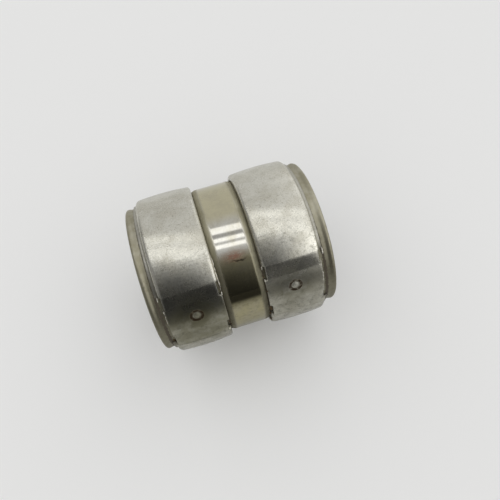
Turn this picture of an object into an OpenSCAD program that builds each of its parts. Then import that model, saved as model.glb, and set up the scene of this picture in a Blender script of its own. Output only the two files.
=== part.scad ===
// Double band clamp on a coupling sleeve, for joining two rigid pipes end to end.
// It lies on its bolts' loops, with the sleeve's axis along X and +Z up.
// All lengths are in millimetres and all angles in degrees.

/* [Sleeve] */
// Length of the sleeve
sleeve_l = 90.7; // [80:0.1:110]
// Outer radius of the stretches that the bands clamp
sleeve_r = 37.3; // [30:0.1:45]
// Thickness of the sleeve's wall
sleeve_wall = 2; // [1.2:0.1:2.5]
// Height of the raised middle above the clamped stretches
middle_rise = 0.8; // [0.3:0.05:1.4]
// Height of the flared lip above the clamped stretches
lip_rise = 0.35; // [0.1:0.05:0.6]
// Length of the flared lip
lip_l = 3.2; // [2:0.1:4]
// Gap between the raised middle and the bands beside it
middle_gap = 0.1; // [0.05:0.05:0.3]
// Length of the rounded shoulder on each side of the raised middle
shoulder_l = 3.2; // [2:0.1:4]
// Length of the slope inside, from the raised middle down to the straight bore
bore_slope = 2; // [1:0.1:3]
// Distance from the raised middle's foot to the start of the straight bore
bore_setback = 0.4; // [0.2:0.1:1]
// Rounding of the lip's outer edge
lip_round = 1.2; // [0.8:0.1:1.6]
// Rounding of the bore's edge
bore_round = 0.6; // [0.3:0.1:0.8]
// Width of the closing slots in the sleeve's ends
slot_w = 5; // [3:0.5:7]
// Distance from a slot's round end to the raised middle
slot_setback = 3; // [1:0.5:8]

/* [Bands] */
// Distance between the middles of the two bands
band_spacing = 51; // [48:0.5:56]
// Distance of the bands and the raised middle to the right of the sleeve's middle
bands_shift = -0.35; // [-1:0.05:1]
// Width of a band
band_w = 30; // [26:0.5:32]
// Thickness of the band's sheet
band_t = 1.5; // [1.2:0.1:1.8]
// Height of the crown's middle above its edges
crown_h = 0.8; // [0.4:0.1:1.2]
// Clear height under the middle of the crown, above the sleeve
crown_clear = 2.5; // [2.3:0.1:3]
// Width of the low lip along the band's outer edge
lip_w = 1.4; // [0.8:0.1:2]
// Thickness of the low lip
lip_t = 1; // [0.6:0.1:1]
// Bend radius at the band's outer edge
outer_bend = 2.3; // [1.8:0.1:2.8]
// Bend radius at the band's edge towards the middle of the sleeve
inner_bend = 1.7; // [1.6:0.1:2.4]
// Gap between the turned-down edges and the sleeve
edge_gap = 0.2; // [0.1:0.05:0.6]

/* [Weld pads] */
// Angle from the bolts round to the middle of the weld pad
pad_turn = 244; // [200:1:260]
// Length of the weld pad round the sleeve, as an angle
pad_arc = 25.4; // [18:0.2:28]
// Length of each ramp and edge notch beside the pad, as an angle
ramp_arc = 11; // [8:0.2:13]
// Stretch of the crown before each ramp that sinks gently, as an angle
sink_arc = 20; // [12:1:24]
// Depth by which the crown has sunk where a ramp starts
crown_sink = 0.5; // [0.2:0.05:0.6]
// Depth of the edge notches
notch_depth = 1.2; // [0.8:0.1:1.5]
// Distance from the band's outer edge to the pad's
pad_setback = 2; // [1.6:0.1:3]
// Angle from the pad's middle to the weld's dimple
weld_shift = -1.8; // [-3:0.1:3]
// Radius of the weld's dimple
weld_r = 3.1; // [2:0.1:4]
// Depth of the weld's dimple
weld_depth = 0.55; // [0.3:0.05:0.8]
// Radius of the nub in the dimple
nub_r = 2; // [0.8:0.1:2.4]
// Height of the nub
nub_h = 0.45; // [0.2:0.05:0.5]

/* [Loops and spools] */
// Distance between the two spools of a clamp, from middle to middle
spool_spacing = 22; // [21:0.5:25]
// Radius of a spool
spool_r = 6.5; // [6:0.1:7]
// Length of a spool
spool_l = 29; // [26:0.5:30]
// Distance from a spool's middle to the flat that the nut or head seats on
spool_flat = 4; // [3.5:0.1:4.5]
// Chamfer of a spool's ends
spool_chamfer = 0.6; // [0.3:0.1:1]
// Length of the flat along the spool
flat_l = 17.4; // [16:0.1:18]
// Width of the window in the loops, between their two straps
window_w = 18; // [17:0.1:19]
// Angle from the bolts to where the band's crown has faded out
crown_end = 29; // [27:0.5:32]
// Angle over which the crown fades out
crown_fade = 7; // [5:0.5:10]
// Angle from the bolts to the end of the loop's welded tail
tail_end = 27; // [24:0.5:28]
// Thickness of a bridge plate
bridge_t = 1.2; // [0.8:0.1:1.2]
// Angle that a bridge plate covers
bridge_arc = 80; // [60:1:90]
// Gap between a bridge plate's sides and the band's turned-down edges
bridge_side_gap = 0.6; // [0.3:0.1:1.5]

/* [Bolts] */
// Radius of the bolt's shank
bolt_r = 4; // [3.5:0.1:4]
// Length of the bolt under its head
bolt_l = 50; // [44:0.5:56]
// Chamfer of the bolt's end
bolt_tip = 0.9; // [0.5:0.1:1.2]
// Width across the flats of the bolt's head and the nut
across_flats = 13; // [12:0.5:13]
// Height of the bolt's head
head_h = 5.3; // [4:0.1:6]
// Height of the round collar under the bolt's head, as part of the head
collar_h = 0.4; // [0.2:0.1:0.6]
// Height of the nut
nut_h = 6.8; // [5:0.1:7]
// Flare at both ends of the nut's hole
nut_flare = 0.5; // [0.3:0.1:0.8]
// Radius of the washer
washer_r = 7.5; // [7:0.1:7.5]
// Thickness of the washer
washer_t = 1.6; // [1:0.1:2]
// Radius of the cross holes in the spools
cross_hole_r = 4.5; // [4.3:0.1:5]

/* [Clearances] */
// Gap between faces that seat on each other
seat_gap = 0.05; // [0.02:0.01:0.08]
// Radial clearance of the nut on the bolt
nut_clear = 0.05; // [0.02:0.01:0.09]
// Radial clearance of the washer on the bolt
washer_clear = 0.09; // [0.05:0.01:0.2]
// Radial clearance of a spool in its loop
spool_clear = 0.05; // [0.02:0.01:0.1]

/* [Hidden] */
$fn = 128;
eps = 0.01;
// How far a cutting shape stands out past what it cuts
over = 1;

// Each clamp is modelled about the sleeve's axis, which lies along its Z there. The bolt crosses on
// the +X side and runs along Y, with the nut towards +Y. Its +Z edge is the outer edge of the band.
band_half = band_w / 2;
bore_r = sleeve_r - sleeve_wall;
middle_r = sleeve_r + middle_rise;
middle_half = band_spacing / 2 - band_half - middle_gap;
crown_r = sleeve_r + crown_clear + band_t;
pad_in_r = sleeve_r + seat_gap;
pad_out_r = pad_in_r + band_t;
bridge_in_r = sleeve_r + seat_gap;
bridge_out_r = bridge_in_r + bridge_t;
strip_in_r = bridge_out_r + seat_gap;
strip_out_r = strip_in_r + band_t;
loop_in_r = spool_r + spool_clear;
loop_out_r = loop_in_r + band_t;
spool_y = spool_spacing / 2;
// The loop bites a hair into the strip that it is bent from, so that the two never only touch
loop_bite = 0.03;
spool_centre_r = strip_out_r + loop_in_r - loop_bite;
bolt_x = sqrt(pow(spool_centre_r, 2) - pow(spool_y, 2));
loop_turn = asin(spool_y / spool_centre_r);
seat_y = spool_y + spool_flat;
washer_y = seat_y + seat_gap;
nut_y = washer_y + washer_t + seat_gap;
// The sleeve's axis is this high when the part lies on its loops
axis_h = bolt_x + loop_out_r;

// Points of an arc about [cx, cy], from angle a0 to a1
function arc(cx, cy, r, a0, a1, n) =
    [for (i = [0:n]) let (a = a0 + (a1 - a0) * i / n) [cx + r * cos(a), cy + r * sin(a)]];

// The crown is an arc across the band: its radius, and the height of its surface at z
crown_arc_r = (pow(band_half, 2) + pow(crown_h, 2)) / (2 * crown_h);
function crown_at(z) = crown_r - crown_arc_r + sqrt(pow(crown_arc_r, 2) - z * z);

// The low lip starts at this z, where the crown's outer edge comes down
lip_z = band_half - lip_w;

// Height of the band's outer surface at z, with the bends at its two edges
function surface_at(z) =
    let (bend = z > 0 ? outer_bend : inner_bend,
         cz = (z > 0 ? lip_z : band_half) - bend,
         past = min(abs(z) - cz, bend))
    past <= 0 ? crown_at(z) : crown_at(cz) - bend + sqrt(pow(bend, 2) - pow(past, 2));

// Outline of one bend: centre on the crown's side, swept from the edge to the crown
function bend_points(bend, cut, side) =
    let (cz = (side > 0 ? lip_z : band_half) - bend, cr = crown_at(cz) - bend)
    [for (p = arc(0, 0, bend - cut, 90, 0, 6)) [cr + p[0], side * (cz + p[1])]];

// Section of the band as [radius, z]: crown and two turned-down edges, all of one thickness
function reversed(list) = [for (i = [len(list) - 1:-1:0]) list[i]];
crown_steps = 12;
crown_zs = [for (i = [0:crown_steps])
    (lip_z - outer_bend) - (band_w - lip_w - outer_bend - inner_bend) * i / crown_steps];
function crown_points(drop) = [for (i = [1:crown_steps - 1]) [crown_at(crown_zs[i]) - drop, crown_zs[i]]];
edge_foot_r = sleeve_r + edge_gap;
lip_r = edge_foot_r + lip_t;
lip_corner = 0.3 * lip_t;
wall_z = lip_z - band_t;
band_section = concat(
    [[edge_foot_r, band_half], [lip_r - lip_corner, band_half],
     [lip_r, band_half - lip_corner], [lip_r, lip_z]],
    bend_points(outer_bend, 0, 1),
    crown_points(0),
    reversed(bend_points(inner_bend, 0, -1)),
    [[edge_foot_r, -band_half]],
    [[edge_foot_r, band_t - band_half]],
    bend_points(inner_bend, band_t, -1),
    reversed(crown_points(band_t)),
    reversed(bend_points(outer_bend, band_t, 1)),
    [for (share = [0, 0.35, 0.6, 0.85]) [edge_foot_r, wall_z + (band_half - wall_z) * share]]);

// Half of the sleeve's outline from its middle to its lip, on the outside and on the inside
shoulder_r = (pow(shoulder_l, 2) + pow(middle_rise, 2)) / (2 * middle_rise);
bore_start = middle_half + bore_setback;
function lip_curve(end, n) =
    [for (i = [0:n]) let (t = i / n)
        [sleeve_r + lip_rise * (1 - cos(180 * t)) / 2, end - lip_l + (lip_l - lip_round) * t]];
function outer_half(end) = concat(
    arc(middle_r - shoulder_r, middle_half - shoulder_l, shoulder_r, 0, asin(shoulder_l / shoulder_r), 8),
    lip_curve(end, 6),
    arc(sleeve_r + lip_rise - lip_round, end - lip_round, lip_round, 0, 90, 8));
function inner_half(end) = concat(
    [[middle_r - sleeve_wall, bore_start - bore_slope], [bore_r, bore_start]],
    arc(bore_r + bore_round, end - bore_round, bore_round, 180, 90, 6));
function flipped(list) = [for (p = reversed(list)) [p[0], -p[1]]];
left_end = sleeve_l / 2 + bands_shift;
right_end = sleeve_l / 2 - bands_shift;
sleeve_section = concat(
    flipped(outer_half(left_end)), outer_half(right_end),
    reversed(inner_half(right_end)), reversed(flipped(inner_half(left_end))));

slot_end = middle_half + slot_setback + slot_w / 2;

// Lays a shape made about Z along X, with its +X side down, at the sleeve's height. Its z = 0 comes to
// the raised middle.
module along_sleeve() translate([bands_shift, 0, axis_h]) rotate([0, 90, 0]) children();

// Puts a clamp's piece on the left (-1) or right (1) half of the sleeve
module on_side(side)
    along_sleeve()
    translate([0, 0, side * band_spacing / 2])
    mirror([0, 0, side < 0 ? 1 : 0])
    children();

// A stretch of a revolved section between two angles from the bolts
module turned(from, to)
    rotate([0, 0, from])
    rotate_extrude(angle = to - from)
    children();

// A flat strip of sheet that follows the sleeve
module strip(in_r, out_r, half, from, to)
    turned(from, to)
    translate([in_r, -half])
    square([out_r - in_r, 2 * half]);

// A cylinder along Y that starts at y
module along_y(x, y, r, l)
    translate([x, y, 0]) rotate([-90, 0, 0]) cylinder(h = l, r = r);

// Sheet between rings of points, one ring for each station. Each ring is a row on the outside towards
// +Z and then the same row back on the inside, so that its ends close with a row of cells.
module sheet(rings, forward) {
    size = len(rings[0]);
    last = len(rings) - 1;
    walls = [for (i = [0:last - 1], j = [0:size - 1])
        let (a = i * size + j, b = i * size + (j + 1) % size, c = b + size, d = a + size)
        each [[a, b, c], [a, c, d]]];
    cells = [for (j = [0:size / 2 - 2])
        let (k = size - 1 - j)
        each [[j, j + 1, k - 1], [j, k - 1, k]]];
    far_cap = [for (c = cells) [for (v = c) v + last * size]];
    near_cap = [for (c = cells) reversed(c)];
    faces = concat(walls, near_cap, far_cap);
    polyhedron([for (ring = rings) each ring], forward ? faces : [for (f = faces) reversed(f)]);
}

// A point of a section as [radius, z], turned to an angle from the bolts
function turned_to(p, a) = [p[0] * cos(a), p[0] * sin(a), p[1]];

// The stations reach a little into the pieces beside a stretch of sheet, and there the sheet is a hair
// thinner than they are, so that they join cleanly
reach = 0.02;
hair = 2 * eps;
steps = 8;
function within(t) = min(max(t, 0), 1);

// Sheet that falls from the sunk crown to a flat strip: steeply at first, and then to a shallow crease.
// Where from is past to it falls the other way round.
module ramp(from, to, low_r, sunk) {
    steep = 1.35;
    zs = concat([notch_depth - band_half], reversed(crown_zs), [lip_z - notch_depth]);
    function fall(t) = t * (steep + (1 - steep) * t);
    function height(z, t) =
        let (top = surface_at(z) - sunk)
        top + (low_r - top) * fall(within(t));
    function row(list, t, depth) =
        [for (z = list) turned_to([height(z, t) - depth, z], from + (to - from) * t)];
    function ring(t) =
        let (inset = eps + 2 * hair * (1 - within(t)))
        concat(row(zs, t, inset), row(reversed(zs), t, band_t - inset));
    sheet([for (i = [0:steps]) ring((1 + 2 * reach) * i / steps - reach)], to > from);
}

// The crown's whole section where it sinks gently before a ramp. Its edges' feet stay where they are.
module sinking_crown(from, to) {
    narrow = 1 - hair / band_half;
    half_count = len(band_section) / 2;
    function point(i, t) =
        let (p = band_section[i], foot = p[0] < edge_foot_r + eps,
             skin = i < half_count && !foot ? -hair : hair,
             sunk = foot ? 0 : crown_sink * (1 - cos(90 * within(t))))
        [p[0] + skin - sunk, p[1] * narrow];
    function row(first, t) =
        [for (i = [half_count - 1:-1:0]) turned_to(point(first + i, t), from + (to - from) * t)];
    function ring(t) = concat(row(0, t), row(half_count, t));
    sheet([for (i = [0:steps]) ring((1 + reach) * i / steps - reach)], to > from);
}

module pad() {
    from = pad_turn - pad_arc / 2;
    to = pad_turn + pad_arc / 2;
    pad_half = band_half - pad_setback / 2;
    weld_turn = pad_turn + weld_shift;
    dimple_r = (pow(weld_r, 2) + pow(weld_depth, 2)) / (2 * weld_depth);
    bulb_r = (pow(nub_r, 2) + pow(nub_h, 2)) / (2 * nub_h);
    floor_r = pad_out_r - weld_depth;
    translate([0, 0, pad_half - band_half]) {
        difference() {
            strip(pad_in_r, pad_out_r, pad_half, from, to);
            rotate([0, 0, weld_turn]) translate([floor_r + dimple_r, 0, 0]) sphere(r = dimple_r);
        }
        intersection() {
            strip(pad_in_r, pad_out_r, pad_half / 2, from, to);
            rotate([0, 0, weld_turn]) translate([floor_r + nub_h - bulb_r, 0, 0]) sphere(r = bulb_r);
        }
    }
    ramp(from - ramp_arc, from, pad_out_r, crown_sink);
    ramp(to + ramp_arc, to, pad_out_r, crown_sink);
    sinking_crown(from - ramp_arc - sink_arc, from - ramp_arc);
    sinking_crown(to + ramp_arc + sink_arc, to + ramp_arc);
}

// The band's end on the nut's side (1) or the head's side (-1)
module band_end(way) mirror([0, way < 0 ? 1 : 0, 0]) {
    difference() {
        union() {
            strip(strip_in_r, strip_out_r, band_half, loop_turn, crown_end + eps);
            translate([bolt_x, spool_y, -band_half]) cylinder(h = band_w, r = loop_out_r);
            strip(strip_out_r - eps, strip_out_r + band_t, band_half, loop_turn, tail_end);
        }
        translate([bolt_x, spool_y, -band_half - over]) cylinder(h = band_w + 2 * over, r = loop_in_r);
        translate([strip_out_r * cos(loop_turn) + eps, spool_y - loop_out_r - over, -window_w / 2])
            cube([4 * loop_out_r, loop_out_r + seat_y, window_w]);
        translate([0, 0, -window_w / 2]) linear_extrude(window_w)
            difference() {
                circle(r = strip_out_r + 2 * loop_out_r);
                circle(r = strip_out_r);
            }
    }
    ramp(crown_end + crown_fade, crown_end, strip_out_r, 0);
}

module band(side) color([0.66, 0.65, 0.62]) on_side(side) {
    pad_from = pad_turn - pad_arc / 2 - ramp_arc - sink_arc;
    pad_to = pad_turn + pad_arc / 2 + ramp_arc + sink_arc;
    crown_from = crown_end + crown_fade;
    turned(crown_from, pad_from) polygon(band_section);
    turned(pad_to, 360 - crown_from) polygon(band_section);
    pad();
    band_end(1);
    band_end(-1);
}

module bridge_plate(side) color([0.6, 0.59, 0.56]) on_side(side)
    strip(bridge_in_r, bridge_out_r, wall_z - bridge_side_gap, -bridge_arc / 2, bridge_arc / 2);

// A round bar with chamfered ends, a cross hole for the bolt and a milled flat
module spool(side, way) color([0.55, 0.54, 0.52]) on_side(side) mirror([0, way < 0 ? 1 : 0, 0]) {
    width = 2 * (spool_r + over);
    difference() {
        translate([bolt_x, spool_y, 0]) {
            cylinder(h = spool_l - 2 * spool_chamfer, r = spool_r, center = true);
            for (up = [0, 1]) mirror([0, 0, up])
                translate([0, 0, spool_l / 2 - spool_chamfer])
                cylinder(h = spool_chamfer, r1 = spool_r, r2 = spool_r - spool_chamfer);
        }
        along_y(bolt_x, spool_y - width / 2, cross_hole_r, width);
        translate([bolt_x - width / 2, seat_y, -flat_l / 2]) cube([width, spool_r, flat_l]);
    }
}

// A hexagon along Y from y, with its corners chamfered at the far end, or at both
module hexagon(y, h, both) {
    corner_r = across_flats / sqrt(3);
    face_r = across_flats * 0.475;
    past_r = corner_r + 2 * hair;
    slope = (past_r - face_r) * tan(30);
    chamfer = both ? [[face_r, 0], [past_r, slope]] : [[past_r, 0]];
    translate([bolt_x, y, 0]) intersection() {
        rotate([-90, 30, 0]) cylinder(h = h, r = corner_r, $fn = 6);
        rotate([-90, 0, 0]) rotate_extrude()
            polygon(concat([[0, 0]], chamfer, [[past_r, h - slope], [face_r, h], [0, h]]));
    }
}

module bolt(side) color([0.5, 0.5, 0.5]) on_side(side) {
    seat = -seat_y - seat_gap;
    collar_r = across_flats * 0.465;
    mirror([0, 1, 0]) hexagon(-seat + collar_h, head_h - collar_h, false);
    along_y(bolt_x, seat - collar_h, collar_r, collar_h);
    along_y(bolt_x, seat, bolt_r, bolt_l - bolt_tip);
    translate([bolt_x, seat + bolt_l - bolt_tip, 0]) rotate([-90, 0, 0])
        cylinder(h = bolt_tip, r1 = bolt_r, r2 = bolt_r - bolt_tip);
}

module washer(side) color([0.62, 0.62, 0.6]) on_side(side) difference() {
    along_y(bolt_x, washer_y, washer_r, washer_t);
    along_y(bolt_x, washer_y - over, bolt_r + washer_clear, washer_t + 2 * over);
}

module nut(side) color([0.56, 0.56, 0.55]) on_side(side) {
    hole_r = bolt_r + nut_clear;
    difference() {
        hexagon(nut_y, nut_h, true);
        along_y(bolt_x, nut_y - over, hole_r, nut_h + 2 * over);
        for (end = [0, 1]) translate([bolt_x, nut_y + end * nut_h, 0]) mirror([0, end, 0])
            rotate([-90, 0, 0])
            cylinder(h = nut_flare, r1 = hole_r + nut_flare, r2 = hole_r);
    }
}

module sleeve() color([0.7, 0.68, 0.62]) along_sleeve() difference() {
    rotate_extrude() polygon(sleeve_section);
    for (up = [0, 1]) mirror([0, 0, up]) {
        translate([0, -slot_w / 2, slot_end]) cube([middle_r + over, slot_w, sleeve_l]);
        translate([0, 0, slot_end]) rotate([0, 90, 0]) cylinder(h = middle_r + over, r = slot_w / 2);
    }
}

sleeve();
band(-1);  // left_band
bridge_plate(-1);  // left_bridge_plate
spool(-1, -1);  // left_head_spool
spool(-1, 1);  // left_nut_spool
bolt(-1);  // left_bolt
washer(-1);  // left_washer
nut(-1);  // left_nut
band(1);  // right_band
bridge_plate(1);  // right_bridge_plate
spool(1, -1);  // right_head_spool
spool(1, 1);  // right_nut_spool
bolt(1);  // right_bolt
washer(1);  // right_washer
nut(1);  // right_nut
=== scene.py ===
"""Finish, light and camera for a double band clamp on a coupling sleeve, all in steel."""
from math import cos, pi, radians, sin, tan, tau

import bmesh
import bpy
from mathutils import Matrix, Vector, noise


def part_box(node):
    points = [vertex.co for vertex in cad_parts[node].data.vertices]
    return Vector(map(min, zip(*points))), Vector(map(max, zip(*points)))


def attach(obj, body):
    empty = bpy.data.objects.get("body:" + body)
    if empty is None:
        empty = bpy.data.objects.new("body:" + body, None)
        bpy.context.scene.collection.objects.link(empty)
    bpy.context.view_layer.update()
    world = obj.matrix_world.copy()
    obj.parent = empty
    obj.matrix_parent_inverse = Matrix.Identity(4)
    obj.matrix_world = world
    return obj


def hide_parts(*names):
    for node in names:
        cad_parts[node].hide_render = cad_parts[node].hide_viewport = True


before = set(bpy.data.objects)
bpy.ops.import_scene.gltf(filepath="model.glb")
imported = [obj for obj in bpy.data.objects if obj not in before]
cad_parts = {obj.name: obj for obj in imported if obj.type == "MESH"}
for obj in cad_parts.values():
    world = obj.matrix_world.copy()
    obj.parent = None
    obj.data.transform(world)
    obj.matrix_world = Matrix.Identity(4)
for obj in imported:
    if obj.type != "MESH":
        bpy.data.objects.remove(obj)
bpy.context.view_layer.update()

MM = 0.001
SIDES = ("left", "right")


def middle(node):
    """The middle of a carried-over solid's box."""
    low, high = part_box(node)
    return Vector([(a + b) / 2 for a, b in zip(low, high)])


# The sleeve's axis lies along X at this height. Each band's middle is this far along it, in millimetres.
AXIS_H = middle("sleeve").z
BAND_X = {side: middle(side + "_band").x / MM for side in SIDES}
BAND_HALF = 15.0
MIDDLE_X = (BAND_X["left"] + BAND_X["right"]) / 2
BAND_AWAY = (BAND_X["right"] - BAND_X["left"]) / 2
PAD_R = 38.85

SHOULDER = 3.2

# The spot weld: how far up from the front, how far from the band's middle, and its two radii
WELD_TURN = radians(27.8)
WELD_INWARD = 1.0
WELD_R = 3.1
NUB_R = 2.0


def paint(code):
    """An sRGB hex colour as the linear one that a shader takes."""
    parts = [int(code[i:i + 2], 16) / 255 for i in (0, 2, 4)]
    return [c / 12.92 if c <= 0.04045 else ((c + 0.055) / 1.055) ** 2.4 for c in parts] + [1]


def add(tree, kind, inputs=None, **settings):
    """Adds a node, sets its options, and fills its inputs with values or with other nodes' sockets."""
    node = tree.nodes.new(kind)
    for name, value in settings.items():
        setattr(node, name, value)
    for key, value in (inputs or {}).items():
        if isinstance(value, bpy.types.NodeSocket):
            tree.links.new(value, node.inputs[key])
        else:
            node.inputs[key].default_value = value
    return node


def sums(tree, how, *parts):
    """One Math node's result."""
    return add(tree, "ShaderNodeMath", dict(enumerate(parts)), operation=how).outputs[0]


def new_material(name):
    """A material with its Principled shader, wired and ready."""
    material = bpy.data.materials.new(name)
    material.use_nodes = True
    return material, material.node_tree, material.node_tree.nodes["Principled BSDF"]


def around_axis(tree):
    """Where a point is by the sleeve: one vector in millimetres for patterns, then millimetres along
    the axis, the angle up from the front, and millimetres out from the axis. The angle goes on past
    the back, and changes over smoothly just before it is straight below."""
    place = add(tree, "ShaderNodeTexCoord").outputs["Object"]
    split = add(tree, "ShaderNodeSeparateXYZ", {0: place}).outputs
    along = sums(tree, "MULTIPLY", split[0], 1 / MM)
    front = sums(tree, "MULTIPLY", split[1], -1 / MM)
    up = sums(tree, "MULTIPLY", sums(tree, "SUBTRACT", split[2], AXIS_H), 1 / MM)
    turn = sums(tree, "ARCTAN2", up, front)
    turn = sums(tree, "ADD", turn, spread(tree, turn, radians(-75), radians(-90), 0.0, tau))
    out = sums(tree, "SQRT", sums(tree, "MULTIPLY_ADD", up, up, sums(tree, "MULTIPLY", front, front)))
    place = add(tree, "ShaderNodeVectorMath", {0: place, 1: [1 / MM] * 3}, operation="MULTIPLY").outputs[0]
    return place, along, turn, out


def grain(tree, place, stretch, size_mm, detail=3.0, rough=0.6):
    """Noise whose blotches are size_mm across, squeezed by one factor for each direction."""
    scaled = add(tree, "ShaderNodeVectorMath", {0: place, 1: stretch}, operation="MULTIPLY").outputs[0]
    return add(tree, "ShaderNodeTexNoise",
               {"Vector": scaled, "Scale": 1 / size_mm, "Detail": detail, "Roughness": rough}).outputs[0]


def spread(tree, value, low, high, to_low=0.0, to_high=1.0, smooth=True):
    """Maps a stretch of one value onto another, held at both ends."""
    return add(tree, "ShaderNodeMapRange",
               {"Value": value, "From Min": low, "From Max": high, "To Min": to_low, "To Max": to_high},
               interpolation_type="SMOOTHSTEP" if smooth else "LINEAR").outputs[0]


def near(tree, value, centre, reach):
    """One at the centre, falling to nothing at a distance of reach."""
    away = sums(tree, "ABSOLUTE", sums(tree, "SUBTRACT", value, centre))
    return spread(tree, away, 0.0, reach, 1.0, 0.0)


def blended(tree, amount, a, b):
    """Mixes two colours by an amount."""
    return add(tree, "ShaderNodeMix", {0: amount, 6: a, 7: b}, data_type="RGBA").outputs[2]


def drive(tree, shader, **inputs):
    """Fills the Principled shader's inputs, with spaces written as underscores."""
    for key, value in inputs.items():
        key = key.replace("_", " ")
        if isinstance(value, bpy.types.NodeSocket):
            tree.links.new(value, shader.inputs[key])
        else:
            shader.inputs[key].default_value = value


def worn_normal(tree, height, strength, depth_mm, edge_mm):
    """Edges worn round by edge_mm, with a pattern's bumps depth_mm high on top."""
    edge = add(tree, "ShaderNodeBevel", {"Radius": sums(tree, "MULTIPLY", edge_mm, MM)}, samples=6).outputs[0]
    return add(tree, "ShaderNodeBump",
               {"Height": height, "Strength": strength, "Distance": depth_mm * MM, "Normal": edge}).outputs[0]


# The photograph's camera: how far the sleeve's axis is from level and from square to the view, how high
# the view is round the axis, and where the sleeve's middle lies in front of the lens, all in millimetres
AXIS_ROLL = radians(-16.75)
AXIS_SWING = radians(5.03)
VIEW_HEIGHT = radians(63.9)
MIDDLE_RIGHT, MIDDLE_DOWN, MIDDLE_AHEAD = -10.38, 2.44, 268.84
LENS = 36.14
SENSOR = 36.0


def set_camera():
    """Puts the camera so that the part lies in the frame as it does in the photograph."""
    axis = Vector((cos(AXIS_SWING) * cos(AXIS_ROLL), cos(AXIS_SWING) * sin(AXIS_ROLL), sin(AXIS_SWING)))
    ahead = Vector((MIDDLE_RIGHT, MIDDLE_DOWN, MIDDLE_AHEAD))
    to_lens = -(ahead - ahead.dot(axis) * axis).normalized()
    across = to_lens.cross(axis)
    back = -cos(VIEW_HEIGHT) * to_lens + sin(VIEW_HEIGHT) * across
    up = sin(VIEW_HEIGHT) * to_lens + cos(VIEW_HEIGHT) * across
    rows = (axis, back, up)
    place = Vector([-ahead.dot(r) * MM for r in rows]) + Vector((0, 0, AXIS_H))
    turn = Matrix([(r.x, -r.y, -r.z) for r in rows]).to_4x4()
    data = bpy.data.cameras.new("camera")
    data.lens = LENS
    data.sensor_width = SENSOR
    camera = bpy.data.objects.new("camera", data)
    camera.matrix_world = Matrix.Translation(place) @ turn
    bpy.context.scene.collection.objects.link(camera)
    bpy.context.scene.camera = camera


# The studio as light: brightness at each angle round the sleeve's axis, from level in front, over the
# top and down to the back. The room in front is dark, and three long soft boxes hang overhead.
STUDIO = [(-12, 0.012), (14, 0.03), (27, 0.05), (33, 0.07), (40, 0.11), (46, 0.15), (52, 0.19), (58, 0.3),
          (64, 0.42), (70, 0.58), (74.8, 0.7), (75.6, 1.6), (80.8, 1.6), (81.6, 0.65), (85, 0.65), (85.8, 1.6),
          (91, 1.6), (92, 0.45), (98, 0.45), (99, 1.5), (108.5, 1.5), (109.5, 0.6), (125, 0.66), (180, 0.66)]
# The boxes hang a little askew to the sleeve, and everything but metal is lit by the plain soft room
SKEW = radians(44)
SOFT = 0.87
BACKDROP = 0.78
WINDOW = 1.7
LEFT_WALL = 0.3


def set_studio():
    """World light: the studio as the metal sees it, and a pale backdrop for the eye."""
    world = bpy.data.worlds.new("studio")
    bpy.context.scene.world = world
    world.use_nodes = True
    tree = world.node_tree
    tree.nodes.clear()
    way = add(tree, "ShaderNodeSeparateXYZ", {0: add(tree, "ShaderNodeTexCoord").outputs["Generated"]}).outputs
    turn = sums(tree, "ARCTAN2", way[2], sums(tree, "MULTIPLY", way[1], -1.0))
    turn = sums(tree, "ADD", turn, sums(tree, "MULTIPLY", sums(tree, "LESS_THAN", turn, -pi / 2), tau))
    turn = sums(tree, "ADD", turn, sums(tree, "MULTIPLY", sums(tree, "SUBTRACT", way[0], 0.055), SKEW))
    first, last = radians(STUDIO[0][0]), radians(STUDIO[-1][0])
    ramp = add(tree, "ShaderNodeValToRGB", {0: spread(tree, turn, first, last, smooth=False)})
    brightest = max(level for _, level in STUDIO)
    stops = ramp.color_ramp.elements
    for i, (angle, level) in enumerate(STUDIO):
        at = (radians(angle) - first) / (last - first)
        stop = stops[i] if i < 2 else stops.new(at)
        stop.position = at
        stop.color = [level / brightest] * 3 + [1]
    level = sums(tree, "MULTIPLY", ramp.outputs[0], brightest)
    # A wall to the left, and a window to the right
    to_left = spread(tree, way[0], -0.2, -0.7)
    to_right = sums(tree, "MULTIPLY", spread(tree, way[0], 0.05, 0.42), spread(tree, turn, radians(62), radians(88), 1.0, 0.35))
    level = sums(tree, "MULTIPLY", level, spread(tree, way[0], 0.12, 0.24, 1.0, 0.85))
    window = spread(tree, turn, radians(-8), radians(42), 0.0, WINDOW)
    level = add(tree, "ShaderNodeMix", {0: to_left, 2: level, 3: LEFT_WALL}).outputs[0]
    level = add(tree, "ShaderNodeMix", {0: to_right, 2: level, 3: window}).outputs[0]
    rays = add(tree, "ShaderNodeLightPath").outputs
    to_eye = rays["Is Camera Ray"]
    level = add(tree, "ShaderNodeMix", {0: rays["Is Glossy Ray"], 2: SOFT, 3: level}).outputs[0]
    light = add(tree, "ShaderNodeBackground", {"Color": (1, 1, 1, 1), "Strength": level}).outputs[0]
    seen = add(tree, "ShaderNodeBackground", {"Color": (1, 1, 1, 1), "Strength": BACKDROP}).outputs[0]
    add(tree, "ShaderNodeOutputWorld", {0: add(tree, "ShaderNodeMixShader", {0: to_eye, 1: light, 2: seen}).outputs[0]})


# The white paper under the part fades out in front of it, where the metal mirrors the dark room
PAPER_FRONT, PAPER_FADE = -0.4, -0.1
FLOOR_HALF = 6.0


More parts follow.
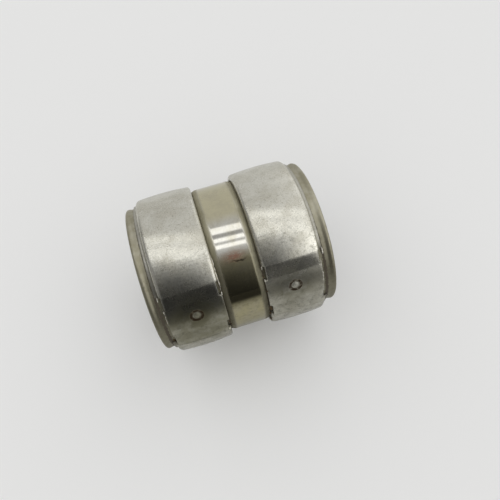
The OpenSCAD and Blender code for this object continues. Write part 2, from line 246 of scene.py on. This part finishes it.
def make_floor():
    """A plain pale floor. Only its mirror image fades out towards the front."""
    mesh = bpy.data.meshes.new("floor")
    corners = [(x * FLOOR_HALF, y * FLOOR_HALF, 0) for x, y in ((-1, -1), (1, -1), (1, 1), (-1, 1))]
    mesh.from_pydata(corners, [], [(0, 1, 2, 3)])
    paper = bpy.data.objects.new("floor", mesh)
    bpy.context.scene.collection.objects.link(paper)
    material, tree, shader = new_material("matt white paper")
    place = add(tree, "ShaderNodeSeparateXYZ", {0: add(tree, "ShaderNodeTexCoord").outputs["Object"]}).outputs
    image = blended(tree, spread(tree, place[1], PAPER_FRONT, PAPER_FADE), paint("262524"), paint("cdcdcb"))
    image = blended(tree, spread(tree, place[1], 0.0, 0.1), image, paint("e2e2e0"))
    mirrored = add(tree, "ShaderNodeLightPath").outputs["Is Glossy Ray"]
    drive(tree, shader, Base_Color=blended(tree, mirrored, paint("f2f2f1"), image),
          Roughness=0.9, Specular_IOR_Level=0.1)
    mesh.materials.append(material)


def from_weld(tree, place, side):
    """Millimetres from the middle of a band's spot weld."""
    inward = WELD_INWARD if side == "left" else -WELD_INWARD
    weld = (BAND_X[side] + inward, -PAD_R * cos(WELD_TURN), AXIS_H / MM + PAD_R * sin(WELD_TURN))
    return add(tree, "ShaderNodeVectorMath", {0: place, 1: weld}, operation="DISTANCE").outputs[1]


# How strong the grey tint low on each band is, partly the steel's own tint and partly painted shade; the tint round its
# weld; and a stretch of painted shade on its front
LOW_TINT_AND_SHADE = {"left": (0.85, 0.75, 0.6), "right": (0.3, 0.5, 0.0)}


def pressed_band_steel(side):
    """Stainless steel sheet, pressed and tumbled: satin with fine sparkle and faint scratches, olive heat tint over the
    welded pad, a grey tint low on the band that is partly painted shade, a stretch of painted shade on the front of the
    left band, a low lip painted darker as shade, and brown soil with painted shade in the weld's groove and at the foot
    of the edges."""
    material, tree, shader = new_material("pressed stainless steel " + side)
    place, along, turn, out = around_axis(tree)
    blotch = grain(tree, place, (1, 1, 1), 8.0, detail=4.0)
    sparkle = grain(tree, place, (1, 1, 1), 0.6, detail=3.0, rough=0.7)
    scratch = grain(tree, place, (0.06, 1, 1.6), 0.5, detail=2.0)
    colour = blended(tree, spread(tree, blotch, 0.35, 0.68), paint("dad8cd"), paint("cac7ba"))
    colour = blended(tree, spread(tree, sparkle, 0.5, 0.3, 0.0, 0.6), colour, paint("8f8c7e"))
    gap = from_weld(tree, place, side)
    low, by_weld, dark = LOW_TINT_AND_SHADE[side]
    cloud = spread(tree, blotch, 0.3, 0.6, 0.6, 1.0)
    # Low on the band the steel is mixed greyer: partly its own tint, partly painted shade.
    below = sums(tree, "MULTIPLY", spread(tree, turn, radians(44), radians(30)),
                 spread(tree, turn, radians(-12), radians(6), 0.3, 1.0))
    grey = sums(tree, "MULTIPLY", below, low)
    colour = blended(tree, sums(tree, "MULTIPLY", grey, cloud), colour, paint("93907a"))
    # A stretch of painted shade on the band's front, on the left band only.
    dark = sums(tree, "MULTIPLY", near(tree, turn, radians(44), radians(20)), dark)
    colour = blended(tree, dark, colour, paint("62625c"))
    film = grain(tree, place, (1, 1, 1), 3.0, detail=6.0, rough=0.75)
    film = sums(tree, "MULTIPLY", spread(tree, film, 0.48, 0.68), spread(tree, turn, radians(76), radians(62), 0.1, 0.5))
    colour = blended(tree, film, colour, paint("6b6a5e"))
    tint = sums(tree, "MULTIPLY", spread(tree, gap, 4.0, 17.0, by_weld, 0.0), spread(tree, gap, 1.7, 2.3))
    colour = blended(tree, sums(tree, "MULTIPLY", tint, cloud), colour, paint("6c6952"))
    soil = grain(tree, place, (1, 1, 1), 1.6, detail=5.0, rough=0.7)
    # Brown soil with painted shade in the weld's groove and at the foot of the edges; the foot's painted shade is
    # heavier lower down.
    groove = sums(tree, "ABSOLUTE", sums(tree, "SUBTRACT", gap, (WELD_R + NUB_R) / 2 + 0.15))
    groove = spread(tree, groove, 0.55, 1.0, 1.0, 0.0)
    foot = spread(tree, out, 37.7, 38.35, 1.0, 0.0)
    foot = sums(tree, "MULTIPLY", foot, spread(tree, turn, radians(85), radians(45), 0.35, 0.85))
    soil_and_shade = sums(tree, "MAXIMUM", groove, foot)
    soil_and_shade = sums(tree, "MULTIPLY", soil_and_shade, spread(tree, soil, 0.3, 0.5, 0.6, 1.0))
    colour = blended(tree, soil_and_shade, colour, paint("2a2013"))
    rough = sums(tree, "ADD", spread(tree, blotch, 0.3, 0.7, 0.2, 0.28), sums(tree, "MULTIPLY", soil_and_shade, 0.3))
    # The low lip by the crease is painted darker, as shade.
    lip = spread(tree, out, 38.4, 38.7, 1.0, 0.0)
    colour = blended(tree, sums(tree, "MULTIPLY", lip, 0.5), colour, paint("77746a"))
    rough = sums(tree, "ADD", rough, sums(tree, "MULTIPLY", lip, 0.15))
    rough = sums(tree, "ADD", rough, spread(tree, gap, 1.8, 2.2, 0.12, 0.0))
    rough = sums(tree, "ADD", rough, sums(tree, "MULTIPLY", sums(tree, "ADD", below, film), 0.08))
    height = sums(tree, "ADD", sparkle, sums(tree, "MULTIPLY", scratch, 0.5))
    height = sums(tree, "ADD", height, sums(tree, "MULTIPLY", blotch, 3.0))
    drive(tree, shader, Base_Color=colour, Metallic=spread(tree, soil_and_shade, 0.2, 0.7, 1.0, 0.0), Roughness=rough,
          Specular_IOR_Level=spread(tree, soil_and_shade, 0.2, 0.7, 0.5, 0.05),
          Normal=worn_normal(tree, height, 0.52, 0.03, spread(tree, gap, 4.0, 7.0, 0.15, 1.2)))
    return material


def rolled_sleeve_steel():
    """Stainless steel tube: its middle is polished to a soft mirror with a straw tint, partly from heat and partly
    painted as the warm colour of the mirrored room, and painted whiter where the soft boxes are mirrored, as a painted
    highlight. Its two ends are left as rolled, matt and olive grey, painted darker towards the bottom as shade, as are
    the shoulders by the bands. Brown soil and painted shade sit in the seams by the bands."""
    material, tree, shader = new_material("rolled and polished stainless steel")
    place, along, turn, out = around_axis(tree)
    from_middle = sums(tree, "ABSOLUTE", sums(tree, "SUBTRACT", along, MIDDLE_X))
    flat_half = BAND_AWAY - BAND_HALF - SHOULDER
    polished = spread(tree, from_middle, flat_half - 0.5, flat_half + 1, 1.0, 0.0)
    blotch = grain(tree, place, (1, 0.7, 0.7), 5.0, detail=4.0)
    lines = grain(tree, place, (1, 0.04, 0.04), 0.6, detail=3.0, rough=0.7)
    # Straw tint below and above, partly from heat and partly painted as the mirrored room's warm colour; whiter and
    # lighter between, where the soft boxes are mirrored: a painted highlight.
    bright = blended(tree, spread(tree, turn, radians(58), radians(68)), paint("b9b290"), paint("d2d0c8"))
    bright = blended(tree, spread(tree, turn, radians(84), radians(96)), bright, paint("c6c0a4"))
    bright = blended(tree, spread(tree, blotch, 0.4, 0.7, 0.0, 0.5), bright, paint("b9b39c"))
    # The matt ends: blotchy olive grey, painted darker towards the bottom as shade.
    matt_ends_and_shade = blended(tree, spread(tree, blotch, 0.35, 0.68), paint("b2ae9c"), paint("9e9984"))
    matt_ends_and_shade = blended(tree, spread(tree, turn, radians(40), radians(90)), paint("938f7c"), matt_ends_and_shade)
    colour = blended(tree, polished, matt_ends_and_shade, bright)
    # The shoulders by the bands: an even olive tone, painted darker towards the bottom as shade.
    shoulder = sums(tree, "MULTIPLY", spread(tree, from_middle, flat_half, flat_half + 1.5),
                    sums(tree, "LESS_THAN", from_middle, BAND_AWAY))
    colour = blended(tree, sums(tree, "MULTIPLY", shoulder, 0.7), colour,
                     blended(tree, spread(tree, turn, radians(50), radians(72)), paint("7f7b68"), paint("aaa58c")))
    film = grain(tree, place, (1, 1.3, 1.3), 2.2, detail=6.0, rough=0.75)
    film = sums(tree, "MULTIPLY", spread(tree, film, 0.45, 0.7), spread(tree, turn, radians(68), radians(60), 0.1, 0.5))
    colour = blended(tree, film, colour, paint("76715e"))
    # A smudge of old soil on the polished front
    smudge = sums(tree, "MULTIPLY", near(tree, along, MIDDLE_X - 0.6, 9.0), near(tree, turn, radians(62), radians(6.5)))
    soil = grain(tree, place, (0.5, 1.3, 1.3), 1.4, detail=5.0, rough=0.7)
    smudge = sums(tree, "MULTIPLY", smudge, spread(tree, soil, 0.25, 0.55))
    colour = blended(tree, sums(tree, "MULTIPLY", smudge, 0.95), colour, paint("8d6555"))
    wave = sums(tree, "ADD", turn, sums(tree, "MULTIPLY", sums(tree, "SUBTRACT", blotch, 0.5), 0.12))
    line = sums(tree, "MULTIPLY", near(tree, wave, radians(58.7), radians(1.1)), near(tree, along, MIDDLE_X + 1.5, 5.5))
    colour = blended(tree, line, colour, paint("3c3224"))
    # Brown soil and painted shade in the seams: thin along the middle's sides, wider by the outer edges and in the
    # notches
    from_seam = sums(tree, "ABSOLUTE", sums(tree, "SUBTRACT", from_middle, BAND_AWAY))
    from_seam = sums(tree, "ABSOLUTE", sums(tree, "SUBTRACT", from_seam, BAND_HALF))
    low_front = spread(tree, turn, radians(75), radians(30))
    outer = spread(tree, from_middle, BAND_AWAY, BAND_AWAY + 1, 0.42, 0.7)
    reach = sums(tree, "MULTIPLY", sums(tree, "MULTIPLY", outer, spread(tree, soil, 0.3, 0.7, 0.5, 1.4)),
                 sums(tree, "ADD", low_front, 0.5))
    seam_soil_and_shade = spread(tree, sums(tree, "DIVIDE", from_seam, reach), 0.5, 1.0, 0.9, 0.0)
    colour = blended(tree, seam_soil_and_shade, colour, paint("3c3224"))
    smooth = spread(tree, lines, 0.3, 0.7, 0.05, 0.1)
    matt = sums(tree, "ADD", spread(tree, blotch, 0.3, 0.7, 0.4, 0.5), sums(tree, "MULTIPLY", shoulder, 0.15))
    rough = add(tree, "ShaderNodeMix", {0: polished, 2: matt, 3: smooth}).outputs[0]
    rough = sums(tree, "ADD", rough, sums(tree, "MULTIPLY", sums(tree, "ADD", seam_soil_and_shade, smudge), 0.25))
    rough = sums(tree, "ADD", rough, sums(tree, "MULTIPLY", film, 0.15))
    drive(tree, shader, Base_Color=colour, Metallic=spread(tree, seam_soil_and_shade, 0.3, 0.9, 1.0, 0.1), Roughness=rough,
          Normal=worn_normal(tree, lines, 0.12, 0.01, 0.15))
    return material


def plain_steel(name, light, dark, low, high):
    """Steel for the pieces under the bands: fine speckle over soft blotches."""
    material, tree, shader = new_material(name)
    place = around_axis(tree)[0]
    blotch = grain(tree, place, (1, 1, 1), 5.0)
    speckle = grain(tree, place, (1, 1, 1), 0.5, detail=4.0)
    drive(tree, shader, Base_Color=blended(tree, spread(tree, blotch, 0.35, 0.65), paint(light), paint(dark)),
          Metallic=1.0, Roughness=spread(tree, speckle, 0.3, 0.7, low, high),
          Normal=worn_normal(tree, speckle, 0.3, 0.02, 0.15))
    return material


def finish_node(name, material):
    """Gives a carried-over solid its material."""
    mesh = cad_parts[name].data
    mesh.materials.clear()
    mesh.materials.append(material)


# The bolt, in millimetres: thread pitch and length, thread depth, and its round and hexagonal parts
PITCH = 1.25
THREAD_L = 26.0
THREAD_DEPTH = 0.65
BOLT_R = 4.0
FLATS = 13.0
HEAD_H = 5.3
COLLAR_H = 0.4
TIP = 0.9
SPOKES = 64
PER_PITCH = 8


def hexagon_r(turn):
    """Distance from a hexagon's middle to its side, at an angle from the middle of one flat."""
    sixth = tau / 6
    return FLATS / 2 / cos((turn + sixth / 2) % sixth - sixth / 2)


def make_bolt(side, material):
    """A hexagon bolt with a rolled thread, in place of the plain carried-over one."""
    low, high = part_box(side + "_bolt")
    centre = middle(side + "_bolt")
    start, end = low.y / MM, high.y / MM
    seat = start + HEAD_H
    face_r, collar_r, root = FLATS * 0.475, FLATS * 0.465, BOLT_R - THREAD_DEPTH
    chamfer = tan(radians(30))

    def thread(y, turn):
        swing = cos(tau * (y / PITCH - turn / tau))
        depth = THREAD_DEPTH * min(max(0.5 - 0.75 * swing, 0), 1)
        return min(BOLT_R - depth, BOLT_R - TIP + (end - y))

    rings = [lambda a: (start, 0.0), lambda a: (start, face_r),
             lambda a: (start + (hexagon_r(a) - face_r) * chamfer, hexagon_r(a)),
             lambda a: (seat - COLLAR_H, hexagon_r(a)), lambda a: (seat - COLLAR_H, collar_r),
             lambda a: (seat, collar_r), lambda a: (seat, BOLT_R), lambda a: (end - THREAD_L, BOLT_R)]
    count = int(THREAD_L / PITCH * PER_PITCH)
    for i in range(1, count + 1):
        rings.append(lambda a, y=end - THREAD_L + THREAD_L * i / count: (y, thread(y, a)))
    rings += [lambda a: (end, root - 0.4), lambda a: (end, 0.0)]
    form = bmesh.new()
    rows = []
    for ring in rings:
        row = []
        for i in range(SPOKES):
            turn = tau * i / SPOKES
            y, r = ring(turn)
            row.append(form.verts.new((centre.x + r * sin(turn) * MM, y * MM, centre.z + r * cos(turn) * MM)))
        rows.append(row)
    for a, b in zip(rows, rows[1:]):
        for i in range(SPOKES):
            j = (i + 1) % SPOKES
            form.faces.new((a[i], a[j], b[j], b[i]))
    bmesh.ops.remove_doubles(form, verts=form.verts, dist=0.002 * MM)
    bmesh.ops.recalc_face_normals(form, faces=form.faces)
    mesh = bpy.data.meshes.new(side + "_threaded_bolt")
    form.to_mesh(mesh)
    form.free()
    for face in mesh.polygons:
        face.use_smooth = True
    mesh.set_sharp_from_angle(angle=radians(35))
    mesh.materials.append(material)
    bolt = bpy.data.objects.new(side + "_threaded_bolt", mesh)
    bpy.context.scene.collection.objects.link(bolt)
    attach(bolt, "root")
    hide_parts(side + "_bolt")


# Torn edges that catch the light: how far along the axis, distance out, from and to how far up from the
# front, and thickness, in millimetres and degrees
IN_L, IN_R = BAND_X["left"] + BAND_HALF, BAND_X["right"] - BAND_HALF
OUT_L, OUT_R = BAND_X["left"] - BAND_HALF, BAND_X["right"] + BAND_HALF
TORN = [(IN_L + 0.05, 38.6, 41, 68, 0.42), (IN_L, 38.9, 38, 41, 0.45), (IN_L, 38.8, 47, 51, 0.4),
        (IN_R, 38.9, 37.5, 40.5, 0.45), (IN_R, 38.7, 47, 50, 0.45), (OUT_R - 0.2, 38.3, 45, 51, 0.5),
        (OUT_R - 2, 38.8, 20, 44, 0.3), (OUT_L + 2, 38.8, 24, 41, 0.2), (OUT_L + 1, 38.2, 46, 50, 0.35)]
# Lumps of dried soil: how far along the axis, distance out, how far up from the front, and size
LUMPS = [(IN_R - 0.1, 39.0, 13, 0.7), (IN_R + 0.2, 39.1, 11, 0.8), (IN_R - 0.2, 38.9, -9, 0.7),
         (IN_R + 0.3, 39.4, -11, 0.6), (IN_R - 0.4, 38.5, 3, 0.5), (IN_R - 0.1, 38.7, 30, 0.45),
         (IN_L + 0.3, 38.6, 6, 0.45), (IN_L, 38.8, 11, 0.5), (IN_R - 0.2, 38.6, 42, 0.5),
         (OUT_L + 1.6, 38.3, 8, 0.6), (OUT_L + 1.4, 38.3, 34, 0.45), (BAND_X["right"] - 8, 40.1, 1, 0.4)]


def by_axis(along, out, turn):
    """The point so far along the sleeve's axis, out from it and round it, in metres."""
    return Vector((along * MM, -out * cos(turn) * MM, AXIS_H + out * sin(turn) * MM))


def place_mesh(name, form, material):
    """Adds a mesh that rides with the part."""
    bmesh.ops.recalc_face_normals(form, faces=form.faces)
    mesh = bpy.data.meshes.new(name)
    form.to_mesh(mesh)
    form.free()
    for face in mesh.polygons:
        face.use_smooth = True
    mesh.materials.append(material)
    made = bpy.data.objects.new(name, mesh)
    bpy.context.scene.collection.objects.link(made)
    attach(made, "root")
    return made


def make_torn_edges(material):
    """Ragged bright beads along the bands' edges and notches."""
    form = bmesh.new()
    for along, out, start, end, thick in TORN:
        count = int(radians(end - start) * out / 0.3)
        rows = []
        for i in range(count + 1):
            turn = radians(start + (end - start) * i / count)
            spot = Vector((along, out * turn, start))
            size = thick * (0.55 + 0.6 * noise.noise(spot * 0.9)) * min(1, 0.1 + 4 * i / count, 4.1 - 4 * i / count)
            sway = 0.2 * noise.noise(spot * 0.6 + Vector((9, 0, 0)))
            row = []
            for k in range(6):
                a = tau * k / 6
                row.append(form.verts.new(by_axis(along + sway + size * cos(a), out + size * sin(a), turn)))
            rows.append(row)
        for a, b in zip(rows, rows[1:]):
            for k in range(6):
                form.faces.new((a[k], a[(k + 1) % 6], b[(k + 1) % 6], b[k]))
        form.faces.new(rows[0])
        form.faces.new(rows[-1])
    place_mesh("torn_edges", form, material)


def make_lumps(material):
    """Small lumps of dried soil in the seams and notches."""
    form = bmesh.new()
    for along, out, turn, size in LUMPS:
        centre = by_axis(along, out, radians(turn))
        made = bmesh.ops.create_icosphere(form, subdivisions=3, radius=size * MM,
                                          matrix=Matrix.Translation(centre))
        for vert in made["verts"]:
            away = vert.co - centre
            vert.co = centre + away * (0.75 + 0.6 * noise.noise(vert.co / MM * 1.4))
    place_mesh("soil_lumps", form, material)


def dried_soil():
    """Dry brown soil, matt and crumbly."""
    material, tree, shader = new_material("dried brown soil")
    crumb = grain(tree, around_axis(tree)[0], (1, 1, 1), 0.4, detail=4.0)
    drive(tree, shader, Base_Color=blended(tree, spread(tree, crumb, 0.35, 0.65), paint("3a2f20"), paint("5a4a32")),
          Roughness=0.9, Specular_IOR_Level=0.2, Normal=worn_normal(tree, crumb, 0.6, 0.1, 0.05))
    return material


def dress():
    """Gives every piece its finish."""
    finish_node("sleeve", rolled_sleeve_steel())
    plate = plain_steel("rolled stainless sheet", "b6b4a9", "a5a297", 0.28, 0.42)
    bar = plain_steel("turned steel bar", "a9a7a1", "94918a", 0.28, 0.42)
    zinc = plain_steel("zinc-plated steel", "bdbebb", "a8a9a5", 0.22, 0.36)
    for side in SIDES:
        finish_node(side + "_band", pressed_band_steel(side))
        finish_node(side + "_bridge_plate", plate)
        finish_node(side + "_head_spool", bar)
        finish_node(side + "_nut_spool", bar)
        for piece in ("bolt", "washer", "nut"):
            finish_node(side + "_" + piece, zinc)
        make_bolt(side, zinc)
    make_torn_edges(plain_steel("torn steel edge", "f0ede2", "dfdacc", 0.4, 0.6))
    make_lumps(dried_soil())


set_camera()
set_studio()
make_floor()
dress()
bpy.context.scene.view_settings.view_transform = "Standard"
